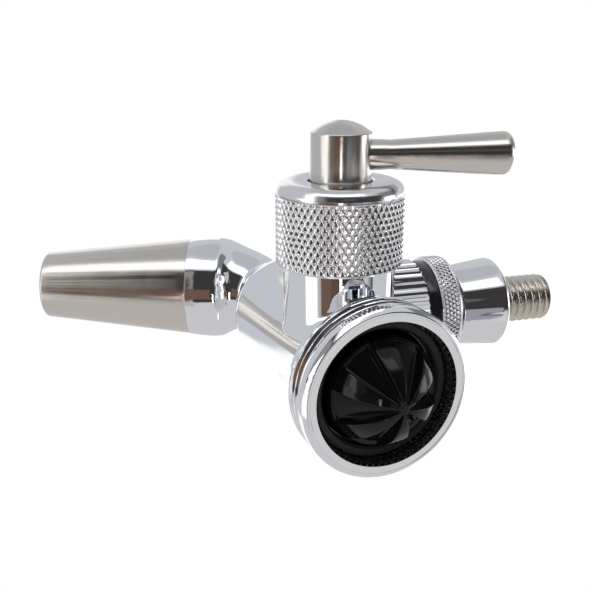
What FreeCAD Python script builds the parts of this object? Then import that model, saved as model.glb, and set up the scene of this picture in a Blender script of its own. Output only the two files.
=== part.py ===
import FreeCAD, Part
import math
import os

import Sketcher

# Beer faucet with a flow-control compensator on its side, in millimetres.
# Origin: centre of the inlet's end face. +Y opens towards the shank, +Z is up towards the tap handle,
# -Y is the drinker's side with the spout, and the flow-control lever stands out along +X.

SIZES = [
    # inlet collar and its coupling thread, 1-1/8 in - 18
    ("collar_rad", 14.2875), ("collar_face_rad", 13.75), ("collar_len", 6.4), ("collar_edge", 0.5),
    ("shoulder_len", 1.4), ("shoulder_flats", 26.6), ("shoulder_reach", 27.9),
    ("recess_rad", 11.8), ("recess_depth", 5.0), ("lip_rad", 9.9), ("lip_depth", 7.5),
    # main tube, valve chamber and seat
    ("tube_rad", 10.7), ("tube_end", 46.0), ("chamber_rad", 8.0), ("chamber_start", 11.5),
    ("chamber_end", 33.0), ("valve_rad", 6.6), ("valve_start", 35.0), ("seat_start", 48.6),
    ("seat_end", 51.1), ("way_rad", 4.6),
    # spout elbow
    ("elbow_y", 62.09), ("elbow_lean", 23.6), ("elbow_bend", 13.0), ("neck_rad", 7.1), ("bulb_rad", 10.95),
    ("bulb_end", 15.0), ("spigot_rad", 8.4), ("spigot_len", 9.0), ("spout_ring", 0.9),
    # nozzle
    ("nozzle_top_rad", 10.4), ("nozzle_tip_rad", 7.15), ("nozzle_len", 32.0), ("outlet_rad", 5.6),
    ("outlet_len", 8.0),
    # boss for the flow-control shaft
    ("boss_y", 19.8), ("boss_rad", 9.5), ("boss_top", 26.0), ("gland_rad", 7.0), ("gland_floor", 13.2),
    ("shaft_way_rad", 6.2), ("boss_blend", 1.6), ("column_blend", 2.5),
    # knurled gland nut
    ("nut_rad", 10.8), ("nut_low", 16.5), ("nut_high", 30.7), ("nut_round", 2.0), ("nut_hole_rad", 5.45),
    # flow-control shaft, hub and arm
    ("shaft_rad", 4.0), ("shaft_low", 6.9), ("shaft_high", 37.6), ("throw", 3.0), ("pin_rad", 1.2),
    ("pin_len", 3.9), ("ring_wire", 0.5), ("hub_rad", 5.1), ("hub_low", 28.3), ("hub_shoulder", 38.5),
    ("hub_top", 40.4), ("arm_x", 34.75), ("arm_rad", 2.5), ("arm_tip_rad", 1.8), ("arm_end_rad", 3.65),
    ("arm_reach", 28.5), ("arm_lean", 17.0),
    # flow-control torpedo
    ("dome_rad", 9.2), ("dome_tip", 5.6), ("dome_base", 2.5), ("torpedo_rad", 6.4), ("torpedo_end", 26.5),
    ("fin_count", 6), ("valley_turn", 36), ("valley_sweep", 35), ("valley_rad", 0.75), ("valley_low", 1.6),
    # handle column and the bonnet
    ("column_y", 39.19), ("column_lean", 4.6), ("column_rad", 10.0), ("column_top", 24.1),
    ("column_way_rad", 6.0), ("socket_rad", 7.4), ("socket_floor", 16.0), ("bonnet_thread_rad", 8.6),
    ("bonnet_thread_top", 27.4),
    ("gasket_rad", 9.7), ("gasket_top", 26.4), ("bonnet_rad", 10.3), ("bonnet_top", 30.6),
    ("bonnet_web_low", 28.0), ("bonnet_web_high", 29.3), ("bonnet_hole_rad", 5.4),
    # handle lever, ferrule and stud, 3/8 in - 16
    ("ball_rad", 6.2), ("ball_high", 24.5), ("finger_rad", 2.4), ("stud_rad", 4.7625), ("stud_root", 4.4),
    ("stud_top", 54.1),
    ("ferrule_low", 31.4), ("ferrule_high", 41.9), ("ferrule_low_rad", 7.95), ("ferrule_high_rad", 9.05),
    # shuttle valve
    ("yoke_rad", 5.6), ("yoke_back", 35.6), ("yoke_front", 43.2), ("head_back", 45.6), ("seal_y", 49.05),
    ("seal_ring_rad", 4.9), ("seal_wire", 1.0),
    # working clearance between a moving piece and what guides it
    ("gap", 0.05),
]

doc = FreeCAD.newDocument("beer_faucet")
sheet = doc.addObject("Spreadsheet::Sheet", "Dims")
for row, (alias, size) in enumerate(SIZES, start=1):
    sheet.set(f"A{row}", alias)
    sheet.set(f"B{row}", str(size))
    sheet.setAlias(f"B{row}", alias)
doc.recompute()

PIECES = []


def dim(expression):
    """A number worked out from the sheet, such as "collar_rad - 2 * gap"."""
    return float(sheet.evalExpression(expression.replace("$", "Dims.")))


def frame_along(point, turn_axis, degrees):
    """A placement at a point, turned so that the local +Z axis is the piece's own axis."""
    turn = FreeCAD.Rotation(FreeCAD.Vector(*turn_axis), degrees)
    return FreeCAD.Placement(FreeCAD.Vector(*point), turn)


INLET = frame_along((0, 0, 0), (1, 0, 0), -90)
BOSS = frame_along((0, -dim("$boss_y"), 0), (0, 1, 0), 90)
COLUMN = frame_along((0, -dim("$column_y"), 0), (1, 0, 0), -dim("$column_lean"))
SPOUT = frame_along((0, -dim("$elbow_y"), 0), (1, 0, 0), -dim("$elbow_lean"))
ARM = frame_along((dim("$arm_x"), -dim("$boss_y"), 0), (1, 0, 0), -dim("$arm_lean"))


def keep(label, item):
    """Marks a finished piece, which is written to its own file under this label."""
    item.Label = label
    PIECES.append(item)
    return item


def arc_centre(start, end, radius, side):
    """Centre of the arc of a given radius between two points; side +1 is left of the way from start to end."""
    across, up = end[0] - start[0], end[1] - start[1]
    chord = math.hypot(across, up)
    rise = math.sqrt(max(radius * radius - chord * chord / 4, 0.0))
    middle = ((start[0] + end[0]) / 2, (start[1] + end[1]) / 2)
    return (middle[0] - side * rise * up / chord, middle[1] + side * rise * across / chord)


def turned(name, outline, place, sweep=360):
    """A body turned about its local Z axis. Each corner of the outline is (radius, height), as expressions of
    the sheet; a third and fourth entry make the run to the next corner an arc of that radius and side.
    A sweep under a full turn lies evenly on both sides of the local X axis."""
    body = doc.addObject("PartDesign::Body", name)
    sketch = body.newObject("Sketcher::SketchObject", name + "_outline")
    plane = [item for item in body.Origin.OriginFeatures if item.Role == "XZ_Plane"][0]
    sketch.AttachmentSupport = [(plane, "")]
    sketch.MapMode = "FlatFace"
    points = [(dim(corner[0]), dim(corner[1])) for corner in outline]
    count = len(outline)
    for index, corner in enumerate(outline):
        start, end = points[index], points[(index + 1) % count]
        first, last = FreeCAD.Vector(*start, 0), FreeCAD.Vector(*end, 0)
        if len(corner) == 2:
            sketch.addGeometry(Part.LineSegment(first, last), False)
            continue
        side = corner[3]
        middle = arc_centre(start, end, dim(corner[2]), side)
        circle = Part.Circle(FreeCAD.Vector(*middle, 0), FreeCAD.Vector(0, 0, 1), dim(corner[2]))
        low, high = (first, last) if side > 0 else (last, first)
        arc = Part.ArcOfCircle(circle, circle.parameter(low), circle.parameter(high))
        sketch.addGeometry(arc, False)

    def end_of(index, last):
        """Which end of the sketch's line or arc is its first or last point along the outline."""
        backwards = len(outline[index]) > 2 and outline[index][3] < 0
        return 2 if last != backwards else 1

    for index in range(count):
        follower = (index + 1) % count
        sketch.addConstraint(
            Sketcher.Constraint("Coincident", index, end_of(index, True), follower, end_of(follower, False)))
    for index, corner in enumerate(outline):
        for kind, axis_line, expression in (("DistanceX", -2, corner[0]), ("DistanceY", -1, corner[1])):
            if dim(expression) == 0:
                sketch.addConstraint(
                    Sketcher.Constraint("PointOnObject", index, end_of(index, False), axis_line))
                continue
            made = sketch.addConstraint(
                Sketcher.Constraint(kind, -1, 1, index, end_of(index, False), dim(expression)))
            sketch.setExpression(f"Constraints[{made}]", expression.replace("$", "Dims."))
        if len(corner) > 2:
            made = sketch.addConstraint(Sketcher.Constraint("Radius", index, dim(corner[2])))
            sketch.setExpression(f"Constraints[{made}]", corner[2].replace("$", "Dims."))
    spin = body.newObject("PartDesign::Revolution", name + "_turn")
    spin.Profile = (sketch, [""])
    spin.ReferenceAxis = (sketch, ["V_Axis"])
    spin.Angle = sweep
    spin.Midplane = sweep < 360
    body.Tip = spin
    body.Placement = place
    return body


def cap_radius(radius, rise):
    """The sphere's radius, as an expression, for a cap of that rim radius and rise."""
    return f"(({radius})^2 + ({rise})^2) / (2 * ({rise}))"


def ring(name, low, high, inner, outer, place):
    """A plain turned ring from low to high along its axis."""
    return turned(name, [(inner, low), (outer, low), (outer, high), (inner, high)], place)


def rod(name, radius, length, place):
    """A cylinder along the local Z axis of its placement."""
    item = doc.addObject("Part::Cylinder", name)
    item.setExpression("Radius", radius.replace("$", "Dims."))
    item.setExpression("Height", length.replace("$", "Dims."))
    item.Placement = place
    return item


def o_ring(name, major, wire, high, place):
    """A round rubber ring with its centre at a height on the placement's axis."""
    item = doc.addObject("Part::Torus", name)
    item.setExpression("Radius1", major.replace("$", "Dims."))
    item.setExpression("Radius2", wire.replace("$", "Dims."))
    item.Placement = place.multiply(FreeCAD.Placement(FreeCAD.Vector(0, 0, dim(high)), FreeCAD.Rotation()))
    return item


def joined(name, items):
    """One solid from several."""
    item = doc.addObject("Part::MultiFuse", name)
    item.Shapes = items
    item.Refine = True
    return item


def cut(name, base, tool):
    """The base with the tool taken away."""
    item = doc.addObject("Part::Cut", name)
    item.Base = base
    item.Tool = tool
    item.Refine = True
    return item


def box(name, size, low_corner, place):
    """A block whose low corner and size are given in the placement's own axes, as expressions."""
    item = doc.addObject("Part::Box", name)
    for side, expression in zip(("Length", "Width", "Height"), size):
        item.setExpression(side, expression.replace("$", "Dims."))
    corner = FreeCAD.Vector(*[dim(expression) for expression in low_corner])
    item.Placement = place.multiply(FreeCAD.Placement(corner, FreeCAD.Rotation()))
    return item


def moved(place, along):
    """A placement shifted along its own Z axis."""
    return place.multiply(FreeCAD.Placement(FreeCAD.Vector(0, 0, along), FreeCAD.Rotation()))


# ---- faucet body: collar, tube, boss, column and spout elbow as one casting ----

def spout_solid():
    """The necked elbow from the tube's end to the spout's shoulder, lofted through round sections."""
    lean = math.radians(90 - dim("$elbow_lean"))
    bend, elbow_y = dim("$elbow_bend"), dim("$elbow_y")
    start_y = elbow_y - bend * math.tan(lean / 2)
    down = FreeCAD.Vector(0, -math.cos(lean), -math.sin(lean))
    corner = FreeCAD.Vector(0, -elbow_y, 0)
    arc_end = bend * math.tan(lean / 2)
    tube_rad, neck_rad, bulb_rad = dim("$tube_rad"), dim("$neck_rad"), dim("$bulb_rad")
    top_rad = dim("$nozzle_top_rad")
    sections = [(FreeCAD.Vector(0, -dim("$tube_end") + 2, 0), FreeCAD.Vector(0, -1, 0), tube_rad),
                (FreeCAD.Vector(0, -dim("$tube_end"), 0), FreeCAD.Vector(0, -1, 0), tube_rad),
                (FreeCAD.Vector(0, -dim("$tube_end") - 4, 0), FreeCAD.Vector(0, -1, 0), tube_rad - 1.6)]
    for part, swell in ((0.0, 0.12), (0.3, 0.0), (0.5, 0.25), (0.7, 0.5), (0.88, 0.82)):
        turn = lean * part
        centre = FreeCAD.Vector(0, -start_y - bend * math.sin(turn), -bend * (1 - math.cos(turn)))
        way = FreeCAD.Vector(0, -math.cos(turn), -math.sin(turn))
        sections.append((centre, way, neck_rad + (bulb_rad - neck_rad) * swell))
    barrel = (dim("$bulb_end") - arc_end) / 3
    for along, radius in ((arc_end, bulb_rad - 0.1), (arc_end + barrel, bulb_rad),
                          (arc_end + 2 * barrel, bulb_rad - 0.13), (dim("$bulb_end"), top_rad + 0.12)):
        sections.append((corner + down * along, down, radius))
    wires = [Part.Wire([Part.Circle(centre, way, radius).toShape()]) for centre, way, radius in sections]
    return Part.makeLoft(wires, True, False)


def elbow_way():
    """The beer's way round the elbow, from the valve seat to the spigot's mouth."""
    lean = math.radians(90 - dim("$elbow_lean"))
    bend, elbow_y = dim("$elbow_bend"), dim("$elbow_y")
    run = bend * math.tan(lean / 2)
    first = FreeCAD.Vector(0, -dim("$seat_end") + 0.5, 0)
    start = FreeCAD.Vector(0, -elbow_y + run, 0)
    down = FreeCAD.Vector(0, -math.cos(lean), -math.sin(lean))
    half = FreeCAD.Vector(0, -elbow_y + run - bend * math.sin(lean / 2), -bend * (1 - math.cos(lean / 2)))
    end = FreeCAD.Vector(0, -elbow_y, 0) + down * run
    mouth = FreeCAD.Vector(0, -elbow_y, 0) + down * (dim("$bulb_end") + dim("$spigot_len") + 1)
    path = Part.Wire([Part.LineSegment(first, start).toShape(), Part.Arc(start, half, end).toShape(),
                      Part.LineSegment(end, mouth).toShape()])
    rim = Part.Wire([Part.Circle(first, FreeCAD.Vector(0, 1, 0), dim("$way_rad")).toShape()])
    return path.makePipeShell([rim], True, False)


def casting(name, shape):
    """A document object for a shape made with Part's own functions."""
    item = doc.addObject("Part::Feature", name)
    item.Shape = shape
    return item


def spanner_shoulder():
    """The shoulder behind the coupling thread, round but for its spanner flats."""
    sides = doc.addObject("Part::Prism", "shoulder_hexagon")
    sides.Polygon = 6
    sides.setExpression("Circumradius", "Dims.shoulder_flats / sqrt(3)")
    sides.setExpression("Height", "Dims.shoulder_len")
    sides.Placement = moved(INLET, -dim("$collar_len + $shoulder_len"))
    round_stock = rod("shoulder_round", "$shoulder_reach / 2", "$shoulder_len",
                      moved(INLET, -dim("$collar_len + $shoulder_len")))
    trimmed = doc.addObject("Part::Common", "shoulder")
    trimmed.Base, trimmed.Tool = sides, round_stock
    return trimmed


def seam_radii(shape):
    """The cast blends: each curved seam of the boss and of the column with the tube, and its radius."""
    found = []
    for number, edge in enumerate(shape.Edges, start=1):
        middle = edge.BoundBox.Center
        if edge.Curve.TypeId in ("Part::GeomCircle", "Part::GeomLine", "Part::GeomEllipse"):
            continue
        if middle.z > dim("$tube_rad") / 2:
            found.append((number, dim("$column_blend"), dim("$column_blend")))
        elif middle.x > dim("$tube_rad") / 2:
            found.append((number, dim("$boss_blend"), dim("$boss_blend")))
    return found


def make_faucet_body():
    """The chromed brass casting, its outside first and then every way bored through it."""
    tube = turned("tube_stock", [
        ("0", "0"), ("$collar_face_rad", "0"), ("$collar_rad", "-$collar_edge"), ("$collar_rad", "-$collar_len"),
        ("$tube_rad + 1.2", "-$collar_len"), ("$tube_rad", "-$collar_len - $shoulder_len - 1.2"),
        ("$tube_rad", "-$tube_end"), ("0", "-$tube_end")], INLET)
    boss = rod("boss_stock", "$boss_rad", "$boss_top", BOSS)
    column = turned("column_stock", [
        ("0", "0"), ("$column_rad", "0"), ("$column_rad", "$column_top"), ("$bonnet_thread_rad", "$column_top"),
        ("$bonnet_thread_rad", "$bonnet_thread_top"), ("0", "$bonnet_thread_top")], COLUMN)
    spout = casting("spout_stock", spout_solid())
    spigot = turned("spigot_stock", [
        ("0", "-$bulb_end + 2"), ("$spigot_rad", "-$bulb_end + 2"), ("$spigot_rad", "-$bulb_end - $spigot_len + 3"),
        ("$spigot_rad - $spout_ring", "-$bulb_end - $spigot_len + 3"),
        ("$spigot_rad - $spout_ring", "-$bulb_end - $spigot_len + 1"),
        ("$spigot_rad", "-$bulb_end - $spigot_len + 1"), ("$spigot_rad", "-$bulb_end - $spigot_len"),
        ("0", "-$bulb_end - $spigot_len")], SPOUT)
    core = joined("casting_core", [tube, boss, column])
    doc.recompute()
    blend = doc.addObject("Part::Fillet", "casting_blend")
    blend.Base = core
    blend.Edges = seam_radii(core.Shape)
    outside = joined("casting_outside", [blend, spout, spigot, spanner_shoulder()])
    bore = turned("tube_bore", [
        ("0", "1"), ("$recess_rad", "1"), ("$recess_rad", "-$recess_depth"), ("$lip_rad", "-$recess_depth"),
        ("$lip_rad", "-$lip_depth"), ("$chamber_rad", "-$chamber_start"), ("$chamber_rad", "-$chamber_end"),
        ("$valve_rad", "-$valve_start"), ("$valve_rad", "-$seat_start"), ("$way_rad", "-$seat_end"),
        ("0", "-$seat_end")], INLET)
    boss_bore = turned("boss_bore", [
        ("0", "1"), ("$shaft_way_rad", "1"), ("$shaft_way_rad", "$gland_floor"), ("$gland_rad", "$gland_floor"),
        ("$gland_rad", "$boss_top + 1"), ("0", "$boss_top + 1")], BOSS)
    column_bore = turned("column_bore", [
        ("0", "1"), ("$column_way_rad", "1"), ("$column_way_rad", "$socket_floor"),
        ("$socket_rad", "$socket_floor"), ("$socket_rad", "$bonnet_thread_top + 1"),
        ("0", "$bonnet_thread_top + 1")], COLUMN)
    ways = joined("casting_ways", [bore, boss_bore, column_bore, casting("spout_way", elbow_way())])
    keep("faucet_body", cut("faucet_body", outside, ways))


make_faucet_body()

# ---- spout nozzle, inlet seal and bonnet pieces, all held by the body ----

keep("nozzle", turned("nozzle", [
    ("$spigot_rad + 0.02", "-$bulb_end"), ("$nozzle_top_rad", "-$bulb_end"),
    ("$nozzle_tip_rad", "-$bulb_end - $nozzle_len + 0.4"), ("$nozzle_tip_rad - 0.4", "-$bulb_end - $nozzle_len"),
    ("$outlet_rad", "-$bulb_end - $nozzle_len"), ("$outlet_rad", "-$bulb_end - $nozzle_len + $outlet_len"),
    ("$spigot_rad - 1.2", "-$bulb_end - $spigot_len - 0.4"),
    ("$spigot_rad + 0.02", "-$bulb_end - $spigot_len - 0.4")], SPOUT))
keep("nozzle_o_ring", o_ring("nozzle_o_ring", "$spigot_rad - 0.45", "0.45", "-$bulb_end - $spigot_len + 2",
                             SPOUT))
keep("inlet_seal", turned("inlet_seal", [
    ("$lip_rad + 0.1", "-$recess_depth"), ("$recess_rad - 0.1", "-$recess_depth"),
    ("$recess_rad - 0.1", "-$recess_depth + 2"), ("$recess_rad - 0.5", "-$recess_depth + 2.4"),
    ("$lip_rad + 0.5", "-$recess_depth + 2.4"), ("$lip_rad + 0.1", "-$recess_depth + 2")], INLET))
keep("bonnet_gasket", ring("bonnet_gasket", "$column_top", "$gasket_top", "$bonnet_thread_rad + 0.05",
                           "$gasket_rad", COLUMN))
keep("bonnet_ring", turned("bonnet_ring", [
    ("$bonnet_thread_rad + 0.02", "$gasket_top"), ("$bonnet_rad - 0.3", "$gasket_top"),
    ("$bonnet_rad", "$gasket_top + 0.3"), ("$bonnet_rad", "$bonnet_top - 0.4"),
    ("$bonnet_rad - 0.3", "$bonnet_top"), ("$bonnet_rad - 0.6", "$bonnet_top"),
    ("$bonnet_rad - 0.75", "$bonnet_web_high"), ("$bonnet_hole_rad", "$bonnet_web_high"),
    ("$bonnet_hole_rad", "$bonnet_web_low"), ("$bonnet_thread_rad + 0.02", "$bonnet_web_low")], COLUMN))


def socket_ring(label, low, high):
    """A plastic ring in the column's socket, hollowed to carry the lever's ball."""
    stock = rod(label + "_stock", "$socket_rad - 0.03", f"({high}) - ({low})", moved(COLUMN, dim(low)))
    hollow = doc.addObject("Part::Sphere", label + "_hollow")
    hollow.setExpression("Radius", "Dims.ball_rad + Dims.gap")
    hollow.Placement = moved(COLUMN, dim("$ball_high"))
    opening = rod(label + "_opening", "$column_way_rad - 0.9", "20", moved(COLUMN, dim(low) - 1))
    keep(label, cut(label, stock, joined(label + "_tool", [hollow, opening])))


socket_ring("ball_seat", "$socket_floor", "$ball_high - 0.6")
socket_ring("friction_ring", "$ball_high + 0.6", "$bonnet_web_low")
keep("ball_o_ring", o_ring("ball_o_ring", "$ball_rad + $gap + $ring_wire", "$ring_wire", "$ball_high", COLUMN))

# ---- handle lever and ferrule ----


def make_handle():
    """Ball, finger and threaded stud as one lever, with the flared ferrule on it."""
    shank = turned("lever_shank", [
        ("0", "$ball_high"), ("3.4", "$ball_high"), ("3.4", "$ball_high + $ball_rad"),
        ("$stud_root", "$ferrule_low"), ("$stud_root", "$ferrule_high"), ("$stud_rad", "$ferrule_high + 0.3"),
        ("$stud_rad", "$stud_top - 1"), ("$stud_rad - 0.9", "$stud_top"), ("0", "$stud_top")], COLUMN)
    ball = doc.addObject("Part::Sphere", "lever_ball")
    ball.setExpression("Radius", "Dims.ball_rad")
    ball.Placement = moved(COLUMN, dim("$ball_high"))
    finger = turned("lever_finger", [
        ("0", "0"), ("1.7", "0"), ("2.6", "$ball_high - $ball_rad + 1"), ("0", "$ball_high - $ball_rad + 1")],
        COLUMN)
    knob = doc.addObject("Part::Sphere", "lever_knob")
    knob.setExpression("Radius", "Dims.finger_rad")
    knob.Placement = COLUMN
    keep("handle_lever", joined("handle_lever", [shank, ball, finger, knob]))
    keep("handle_ferrule", turned("handle_ferrule", [
        ("$stud_root + 0.01", "$ferrule_low"), ("$ferrule_low_rad - 0.75", "$ferrule_low"),
        ("$ferrule_low_rad", "$ferrule_low + 0.8"), ("$ferrule_high_rad", "$ferrule_high - 1.1", "1.1", 1),
        ("$ferrule_high_rad - 1.1", "$ferrule_high"), ("$stud_root + 0.01", "$ferrule_high")], COLUMN))


make_handle()

# ---- shuttle valve ----


def make_shuttle():
    """The sliding valve: a yoke round the finger's knob, a stem and a head with its rubber ring."""
    stem = turned("shuttle_stem", [
        ("0", "-$yoke_back"), ("$yoke_rad - 0.8", "-$yoke_back"), ("$yoke_rad", "-$yoke_back - 0.8"),
        ("$yoke_rad", "-$yoke_front"), ("2.4", "-$yoke_front - 1"), ("2.4", "-$head_back"),
        ("$yoke_rad", "-$head_back - 0.8"), ("$yoke_rad", "-$seal_y + 1.1"), ("2.2", "-$seal_y + 1.1"),
        ("2.2", "-$seal_y - 0.2"), ("0", "-$seal_y - 0.2")], INLET)
    ribs = []
    for angle in (45, 135, 225, 315):
        place = INLET.multiply(FreeCAD.Placement(
            FreeCAD.Vector(0, 0, 0), FreeCAD.Rotation(FreeCAD.Vector(0, 0, 1), angle)))
        ribs.append(box(f"shuttle_rib_{angle}", ("$valve_rad - $gap - 0.05 - 4", "1.2", "4"),
                        ("4", "-0.6", "-$yoke_front"), place))
    slot = box("shuttle_slot", ("2 * $finger_rad + 0.5", "2 * $finger_rad + 0.5", "12"),
               ("-$finger_rad - 0.25", "-$column_y - $finger_rad - 0.25", "-$finger_rad - 0.4"),
               FreeCAD.Placement())
    keep("shuttle", cut("shuttle", joined("shuttle_stock", [stem] + ribs), slot))
    keep("shuttle_o_ring", o_ring("shuttle_o_ring", "$seal_ring_rad", "$seal_wire", "-$seal_y", INLET))
    keep("seal_retainer", turned("seal_retainer", [
        ("0", "-$seal_y - 0.2"), ("2.2", "-$seal_y - 0.2"), ("2.2", "-$seal_y + 1.05"),
        ("$seal_ring_rad - $seal_wire", "-$seal_y + 1.05"), ("$seal_ring_rad - $seal_wire", "-$seal_y - 0.6"),
        ("3.0", "-$seal_y - 1.8"), ("0", "-$seal_y - 1.8")], INLET))


make_shuttle()

# ---- flow-control torpedo ----


def make_torpedo():
    """The finned dome that throttles the inlet, on a ribbed stem with the eccentric's slot."""
    stock = turned("torpedo_stock", [
        ("0", "$dome_tip"), ("0", "-$torpedo_end"), ("$torpedo_rad - 1.5", "-$torpedo_end"),
        ("$torpedo_rad", "-$torpedo_end + 2"), ("$torpedo_rad", "-11.2"), ("$torpedo_rad + 0.5", "-9.7"),
        ("$dome_rad", "-$dome_base - 2.4"), ("$dome_rad", "-$dome_base",
         cap_radius("$dome_rad", "$dome_tip + $dome_base"), 1)], INLET)
    ribs = []
    for angle in (45, 135, 225, 315):
        place = INLET.multiply(FreeCAD.Placement(
            FreeCAD.Vector(0, 0, 0), FreeCAD.Rotation(FreeCAD.Vector(0, 0, 1), angle)))
        ribs.append(box(f"torpedo_rib_{angle}", ("$chamber_rad - $gap - 5", "1.2", "3"), ("5", "-0.6", "-15.5"),
                        place))
    slot = box("torpedo_slot", ("10", "2 * $pin_rad + 0.4", "2 * $pin_rad + 1.6"),
               ("$shaft_low - $pin_len - 0.4", "-$boss_y - $pin_rad - 0.2", "$throw - $pin_rad - 1.3"),
               FreeCAD.Placement())
    valleys = []
    for number in range(int(dim("$fin_count"))):
        turn = FreeCAD.Placement(FreeCAD.Vector(0, 0, 0), FreeCAD.Rotation(
            FreeCAD.Vector(0, 0, 1), dim("$valley_turn") + number * 360 / dim("$fin_count")))
        valleys.append(turned(f"torpedo_valley_{number}", [
            ("$valley_rad", "$dome_tip + 1"), ("$valley_rad", "$dome_tip - 0.3"),
            ("$dome_rad - 0.8", "-$valley_low"), ("$dome_rad + 1", "-$valley_low"),
            ("$dome_rad + 1", "$dome_tip + 1")], INLET.multiply(turn), dim("$valley_sweep")))
    tools = joined("torpedo_tools", [slot] + valleys)
    keep("compensator", cut("compensator", joined("torpedo_whole", [stock] + ribs), tools))


make_torpedo()

# ---- flow-control gland: bush, seals, nut ----

keep("shaft_bush", turned("shaft_bush", [
    ("$shaft_rad + $gap", "$gland_floor"), ("$gland_rad - 0.03", "$gland_floor"),
    ("$gland_rad - 0.03", "$boss_top - 1.2"), ("$gland_rad - 0.9", "$boss_top - 1.2"),
    ("$gland_rad - 0.9", "$boss_top"), ("$boss_rad - 0.1", "$boss_top"), ("$boss_rad - 0.1", "$boss_top + 1.5"),
    ("$shaft_rad + $gap", "$boss_top + 1.5")], BOSS))
keep("bush_o_ring", o_ring("bush_o_ring", "$gland_rad - 0.45", "0.44", "$boss_top - 0.6", BOSS))
keep("thrust_washer", ring("thrust_washer", "$boss_top + 1.5", "$hub_low - 0.1", "$shaft_rad + $gap",
                           "$nut_hole_rad - 0.1", BOSS))
keep("gland_nut", turned("gland_nut", [
    ("$boss_rad + 0.02", "$nut_low"), ("$nut_rad - 0.4", "$nut_low"), ("$nut_rad", "$nut_low + 0.4"),
    ("$nut_rad", "$nut_high - $nut_round", "$nut_round", 1), ("$nut_rad - $nut_round", "$nut_high"),
    ("$nut_hole_rad", "$nut_high"), ("$nut_hole_rad", "$boss_top + 1.5"),
    ("$boss_rad + 0.02", "$boss_top + 1.5")], BOSS))


def shaft_ring_group():
    """The shaft's two rubber rings, in their grooves."""
    rings = [o_ring(f"shaft_ring_{high}", "$shaft_rad + $gap - $ring_wire", "$ring_wire", str(high), BOSS)
             for high in (17, 21)]
    group = doc.addObject("Part::Compound", "shaft_o_rings")
    group.Links = rings
    return group


keep("shaft_o_rings", shaft_ring_group())

# ---- flow-control lever: shaft, eccentric pin, clip, hub and arm ----


def make_flow_lever():
    """Everything that turns with the flow-control lever."""
    groove = "$shaft_rad - 2 * $ring_wire"
    outline = [("0", "$shaft_low"), ("$shaft_rad", "$shaft_low"), ("$shaft_rad", "12.0"), ("3.4", "12.0"),
               ("3.4", "12.8"), ("$shaft_rad", "12.8")]
    for middle in (17, 21):
        outline += [("$shaft_rad", f"{middle} - 0.6"), (groove, f"{middle} - 0.6"),
                    (groove, f"{middle} + 0.6"), ("$shaft_rad", f"{middle} + 0.6")]
    outline += [("$shaft_rad", "$shaft_high"), ("0", "$shaft_high")]
    arm_tap = rod("arm_tap", "$arm_tip_rad", "$shaft_rad + 1", moved(ARM, 0.6))
    keep("flow_shaft", cut("flow_shaft", turned("shaft_stock", outline, BOSS), arm_tap))
    pin_place = FreeCAD.Placement(
        FreeCAD.Vector(dim("$shaft_low - $pin_len"), -dim("$boss_y"), dim("$throw") - 0.2),
        FreeCAD.Rotation(FreeCAD.Vector(0, 1, 0), 90))
    keep("eccentric_pin", rod("eccentric_pin", "$pin_rad", "$pin_len", pin_place))
    keep("shaft_clip", ring("shaft_clip", "12.05", "12.75", "3.4", "5.4", BOSS))
    stock = turned("hub_stock", [
        ("$shaft_rad", "$hub_low"), ("$hub_rad", "$hub_low"), ("$hub_rad", "$hub_shoulder"),
        ("$hub_rad - 0.5", "$hub_shoulder + 0.25",
         cap_radius("$hub_rad - 0.5", "$hub_top - $hub_shoulder - 0.25"), 1), ("0", "$hub_top"),
        ("0", "$shaft_high"), ("$shaft_rad", "$shaft_high")], BOSS)
    arm_hole = rod("arm_hole", "$arm_rad", "10", moved(ARM, dim("$shaft_rad") - 1))
    keep("lever_hub", cut("lever_hub", stock, arm_hole))
    keep("lever_arm", turned("lever_arm", [
        ("0", "0.6"), ("$arm_tip_rad", "0.6"), ("$arm_tip_rad", "$shaft_rad"), ("$arm_rad", "$shaft_rad"),
        ("$arm_rad", "$hub_rad + 1.5"), ("$arm_rad - 0.1", "$hub_rad + 3"),
        ("$arm_end_rad", "$arm_reach - 1.6", "1.6", 1), ("$arm_end_rad - 1.6", "$arm_reach"),
        ("0", "$arm_reach")], ARM))


make_flow_lever()

doc.recompute()
faults = [item.Name for item in doc.Objects if "Invalid" in item.State or "Error" in item.State]
for piece in PIECES:
    if piece.Shape.isNull() or not piece.Shape.isValid() or not piece.Shape.Solids:
        faults.append(piece.Label)
if faults:
    raise RuntimeError("pieces that failed: " + ", ".join(faults))
os.makedirs("parts", exist_ok=True)
for piece in PIECES:
    piece.Shape.exportStep(f"parts/{piece.Label}.step")
    print(piece.Label, len(piece.Shape.Solids), round(piece.Shape.Volume, 1))
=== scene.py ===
"""Visual model of a beer faucet with side flow control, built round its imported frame.

Lengths are millimetres in the makers' fields and metres in the finished meshes. +Y opens from the inlet,
+Z is up along the tap handle, +X runs out along the flow-control shaft.
"""
import logging
import math
from dataclasses import dataclass, field
from enum import Enum
from typing import Optional, Union

import bmesh
import bpy
from mathutils import Matrix, Vector


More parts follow.
